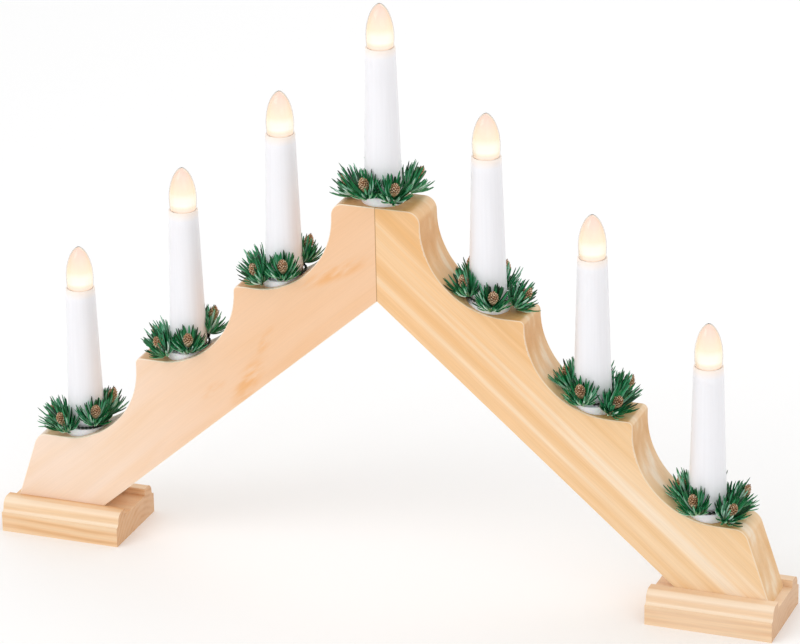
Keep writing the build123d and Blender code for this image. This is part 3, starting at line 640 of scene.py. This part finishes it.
# one wreath's five sprigs as whole arrays: root on the wire, hub, axis and the direction across;
# an axis is the level outward direction times the cosine of its rise plus the upright times its sine
def sprigFrames(number, seat):
    middle, xAxis, yAxis, zAxis = ringFrame(number, seat)
    turn = np.radians(sprig["angles"][number - 1])[:, None]
    outward = np.cos(turn) * xAxis + np.sin(turn) * yAxis
    level = outward * [1, 1, 0] / np.linalg.norm(outward[:, :2], axis=1, keepdims=True)
    upright = -np.sign(seat[0]) * np.cos(turn) > np.cos(np.radians(sprig["uprightReach"]))
    downhill = np.clip(np.sign(seat[0]) * np.cos(turn), 0, 1) if seat[0] else np.cos(turn) ** 2
    hubs, axes = [], []
    for kind in (sprig["open"], sprig["upright"]):
        rise = np.radians(kind["rise"] + kind["facing"] * np.sin(turn) ** 2 + kind["droop"][2] * downhill)
        outside = ring["radius"] + kind["hub"][0] + kind["droop"][0] * downhill
        above = zAxis * kind["hub"][1] + skyward * kind["droop"][1] * downhill
        hubs.append(middle + outward * outside + above)
        axes.append(level * np.cos(rise) + skyward * np.sin(rise))
    hubs[1] = hubs[1] + skyward * sprig["lifts"][number - 1]
    roots = middle + outward * ring["radius"]
    hub, axis = (np.where(upright, pair[1], pair[0]) for pair in (hubs, axes))
    return roots, hub, axis, np.cross(skyward, level)


# one wreath's needles, each a curve that leans off the sprig's axis less and less: with the lean turning
# evenly from root to tip, the way along the axis is the change of its sine and the way sideways the change
# of its cosine, each over the lean's whole change; the root stands off the axis by a gap times the sine of
# its lean, and the section is a flat diamond that narrows to the tip
def needleField(hubs, axes, across, seat):
    over = np.cross(axes, across)
    # tufts at the sides are larger than those in front, by the square of their direction along the arch
    growth = 1 + needle["sideGrowth"] * across[:, 1] ** 2
    axis = axes[:, None, None]
    clouds = []
    for order, (place, leanRoot, leanTip, length, count, facing, sweep) in enumerate(needle["whorls"]):
        share = (np.arange(count) + 0.5 + needle["stagger"] * (order % 2)) / count - 0.5
        size = (len(hubs), count)
        spread = np.radians(facing + sweep * share) + chance.normal(0, needle["turnScatter"], size)
        change = chance.normal(0, needle["leanScatter"], (*size, 1))
        longer = 1 + chance.normal(0, needle["lengthScatter"], (*size, 1, 1))
        reach = length * growth[:, None, None, None] * longer
        sideways = np.cos(spread)[..., None] * across[:, None] + np.sin(spread)[..., None] * over[:, None]
        lean0 = np.radians(leanRoot) + change
        lean1 = np.radians(leanTip) + change
        lean = lean0 + (lean1 - lean0) * needleRows
        along = ((np.sin(lean) - np.sin(lean0)) / (lean1 - lean0))[..., None]
        out = ((np.cos(lean0) - np.cos(lean)) / (lean1 - lean0))[..., None]
        line = (hubs + axes * place)[:, None, None] + reach * (along * axis + out * sideways[:, :, None])
        line = line + needle["rootGap"] * np.sin(lean0)[..., None] * sideways[:, :, None]
        line = clearOf(line, seat, needle["clearance"])
        side = np.cross(axes[:, None], sideways)[:, :, None, None]
        thick = np.cos(lean)[..., None] * sideways[:, :, None] - np.sin(lean)[..., None] * axis
        section = diamond[:, :1] * needle["width"] * side \
            + diamond[:, 1:] * needle["depth"] * thick[..., None, :]
        points = line[..., None, :] + needleGirth[:, None, None] * section
        clouds.append(points.reshape(-1, len(needleRows), 4, 3))
    return np.concatenate(clouds)


# one wreath's needles as one piece, with a tone stored on their points
def makeNeedles(number, seat, hubs, axes, across):
    needles = needleField(hubs, axes, across, seat)
    quads = rodQuads(len(needles), len(needleRows))[:, ::-1]
    piece = putMesh(f"needles{number}", needles.reshape(-1, 3), quads, needleMaterial, f"wreath_{number}",
                    f"sprigs_{number}", smooth=False)
    # tone: chance for each needle, darker towards the tip, with a painted highlight along one ridge
    tint = np.clip(chance.normal(needle["tone"], needle["toneScatter"], len(needles)), *needle["toneLimits"])
    tint = tint[:, None] - needle["tipDark"] * needleRows[None] ** 3
    storeValues(piece, "tone", np.clip(tint[:, :, None] + np.array(needle["ridges"]), 0, 1))


# ring: two strands wound round the ring's circle, each a small circle carried along its path, and the stems,
# straight wires from the ring to each sprig's hub and on up the sprig, closed at both ends
def makeRing(number, seat, roots, hubs, axes, across):
    middle, xAxis, yAxis, zAxis = ringFrame(number, seat)
    trip = np.linspace(0, 2 * np.pi, ring["steps"], endpoint=False)
    outward = np.cos(trip)[:, None] * xAxis + np.sin(trip)[:, None] * yAxis
    wind = (trip[None] * ring["twists"] + np.array([0, np.pi])[:, None])[..., None]
    offset = ring["wire"] - ring["strand"]
    strand = middle + outward[None] * (ring["radius"] + offset * np.cos(wind)) \
        + offset * np.sin(wind) * zAxis
    points = (strand[:, :, None] + ring["strand"] * hoops(ring["sides"], outward, zAxis)).reshape(-1, 3)
    quads = manyQuads(2, ring["steps"], ring["sides"], True, True)[:, ::-1]
    share = np.array(ring["stemRows"])[None, :, None]
    path = roots[:, None] * (1 - share) + (hubs + axes * ring["stemPast"])[:, None] * share
    girth = np.array(ring["stemRadii"])[None, :, None, None]
    stemHoops = hoops(ring["sides"], across, np.cross(axes, across))[:, None]
    stemPoints = (path[:, :, None] + girth * stemHoops).reshape(-1, 3)
    stemQuads = manyQuads(len(roots), len(ring["stemRows"]), ring["sides"], False, True) + len(points)
    putMesh(f"ring{number}", np.concatenate([points, stemPoints]), np.concatenate([quads, stemQuads]),
            wireMaterial, f"wreath_{number}", f"wreath_ring_{number}")


# cone: its foot out along the sprig's axis and how much further behind the candle, its own sizes, and the
# tone at a scale's foot, how much its tip is lighter, the scatter and what each ridge adds; belly and swell
# are where on a half sine the girth of the scales and of the spindle starts and how much of it they take,
# and the belly's power
cone = {"out": 2.6, "backOut": 3.2, "backFrom": 0.15, "start": 1.2, "length": 10.0, "radius": 2.25,
        "scales": 66, "firstScale": 0.2, "spiral": 137.5, "belly": (0.14, 0.84, 0.75),
        "scaleLong": 2.1, "scaleWide": 1.75, "scaleThick": 0.5, "tipRoom": 1.9, "tipShrink": 0.4,
        "spindle": 0.8, "swell": (0.08, 0.9), "spindleRows": 8, "spindleSides": 10,
        "tone": 0.3, "tipLight": 0.5, "toneScatter": 0.17, "ridges": (0, 0.15, 0, -0.25),
        # the spindle's tone is dark: painted shade in the gaps between the scales
        "spindleShade": 0.05}
# rows of a scale as shares of its length, their shares of its width and how far they stand off the spindle
scaleRows = np.array([0.0, 0.45, 0.8, 1.0])
scaleGirth = np.array([0.7, 1.0, 0.85, 0.3])
scaleLift = np.array([0.7, 0.98, 1.16, 1.2])


# scales in the cone's own frame: scale i sits at i times the spiral's angle and at its share of the length;
# it runs up the cone and lifts away from the spindle, with a flat diamond section that narrows to its tip;
# the cone's girth is a power of a half sine, and half of a scale's width follows it
def coneScales():
    order = np.arange(cone["scales"])
    foot = (order + cone["firstScale"]) / cone["scales"]
    spin = np.radians(cone["spiral"]) * order
    begin, span, power = cone["belly"]
    belly = np.sin(np.pi * np.clip(begin + foot * span, 0, 1)) ** power
    radial = np.stack([np.cos(spin), np.sin(spin), 0 * spin], -1)
    tangent = np.stack([-np.sin(spin), np.cos(spin), 0 * spin], -1)
    long = cone["scaleLong"] * (1 - cone["tipShrink"] * foot)[:, None]
    height = cone["start"] + foot[:, None] * (cone["length"] - cone["tipRoom"]) + scaleRows * long
    off = cone["radius"] * belly[:, None] * scaleLift
    line = radial[:, None] * off[..., None] + height[..., None] * skyward
    wide = cone["scaleWide"] * (0.5 + 0.5 * belly)[:, None] * scaleGirth
    return line[:, :, None] + diamond[:, :1] * wide[..., None, None] * tangent[:, None, None] \
        + diamond[:, 1:] * cone["scaleThick"] * radial[:, None, None]


# spindle under the scales in the cone's own frame: its radius follows a half sine, pointed at both ends
def coneSpindle():
    share = np.linspace(0, 1, cone["spindleRows"])
    begin, span = cone["swell"]
    radius = cone["radius"] * cone["spindle"] * np.sin(np.pi * np.clip(begin + share * span, 0, 1))
    radius[[0, -1]] = axisRadius
    circle = hoops(cone["spindleSides"], np.array([1.0, 0, 0]), np.array([0, 1.0, 0]))
    height = cone["start"] + share * cone["length"]
    return radius[:, None, None] * circle + height[:, None, None] * skyward


# one wreath's cones as one piece: scales and spindle carried into each sprig's own directions, from a foot
# out along the sprig's axis
def makeCones(number, hubs, axes, across):
    frames = np.stack([across, np.cross(axes, across), axes], 1)
    # cones behind the candle reach further out of their tuft, by the sine of their place round the ring
    behind = np.clip(np.sin(np.radians(sprig["angles"][number - 1])) + cone["backFrom"], 0, 1)[:, None]
    foot = (hubs + axes * (cone["out"] + cone["backOut"] * behind))[:, None, None]
    points = (foot[:, None] + np.einsum("nvdk,skx->snvdx", coneScales(), frames)).reshape(-1, 3)
    quads = rodQuads(len(hubs) * cone["scales"], len(scaleRows))
    spindle = (foot + np.einsum("vdk,skx->svdx", coneSpindle(), frames)).reshape(-1, 3)
    spindleQuads = manyQuads(len(hubs), cone["spindleRows"], cone["spindleSides"], False, True) + len(points)
    piece = putMesh(f"cones{number}", np.concatenate([points, spindle]),
                    np.concatenate([quads, spindleQuads]), coneMaterial, f"wreath_{number}",
                    f"cones_{number}", smooth=False)
    # tone: lighter to a scale's tip and along one ridge, with chance for each scale; the spindle is dark,
    # painted shade in the gaps between the scales
    tint = cone["tone"] + cone["tipLight"] * scaleRows[None, :, None] + np.array(cone["ridges"])
    tint = tint + chance.normal(0, cone["toneScatter"], cone["scales"])[:, None, None]
    tint = np.broadcast_to(np.clip(tint, 0, 1)[None], (len(hubs), *tint.shape)).ravel()
    storeValues(piece, "tone", np.concatenate([tint, np.full(len(spindle), cone["spindleShade"])]))


for number, seat in zip(candles, seats):
    roots, hubs, axes, across = sprigFrames(number, seat)
    makeNeedles(number, seat, hubs, axes, across)
    makeRing(number, seat, roots, hubs, axes, across)
    makeCones(number, hubs, axes, across)
print("wreaths made")


# pale floor and soft studio light, in metres and watts
studio = {"floorHalf": 6, "floorTone": "#FCFCFC", "sky": 0.82, "aimHeight": 0.15,
          "lamps": {"key": {"place": (-1.1, -1.5, 1.7), "size": 1.4, "power": 13},
                    "fill": {"place": (1.4, -1.4, 1.2), "size": 1.6, "power": 4},
                    "behind": {"place": (0.2, 1.4, 1.6), "size": 1.6, "power": 6}}}
half = studio["floorHalf"]
floorCorners = [(-half, -half, 0), (half, -half, 0), (half, half, 0), (-half, half, 0)]
floorMesh = bpy.data.meshes.new("floor")
floorMesh.from_pydata(floorCorners, [], [(0, 1, 2, 3)])
floor = bpy.data.objects.new("floor", floorMesh)
bpy.context.scene.collection.objects.link(floor)
floorValues = {"Base Color": hexColor(studio["floorTone"]), "Roughness": 0.7}
floorMesh.materials.append(newMaterial("paleFloor", floorValues)[0])

world = bpy.data.worlds.new("studio")
bpy.context.scene.world = world
world.use_nodes = True
sky = world.node_tree.nodes["Background"]
sky.inputs["Color"].default_value = (1, 1, 1, 1)
sky.inputs["Strength"].default_value = studio["sky"]
for name, lamp in studio["lamps"].items():
    lampData = bpy.data.lights.new(name, "AREA")
    lampData.size = lamp["size"]
    lampData.energy = lamp["power"]
    light = bpy.data.objects.new(name, lampData)
    spot = np.array(lamp["place"])
    aim = spot - skyward * studio["aimHeight"]
    aim = aim / np.linalg.norm(aim)
    sideways = np.cross(skyward, aim)
    sideways = sideways / np.linalg.norm(sideways)
    light.matrix_world = standAt(spot, sideways, np.cross(aim, sideways), aim)
    bpy.context.scene.collection.objects.link(light)
bpy.context.scene.view_settings.view_transform = "Standard"
print("floor and light set")
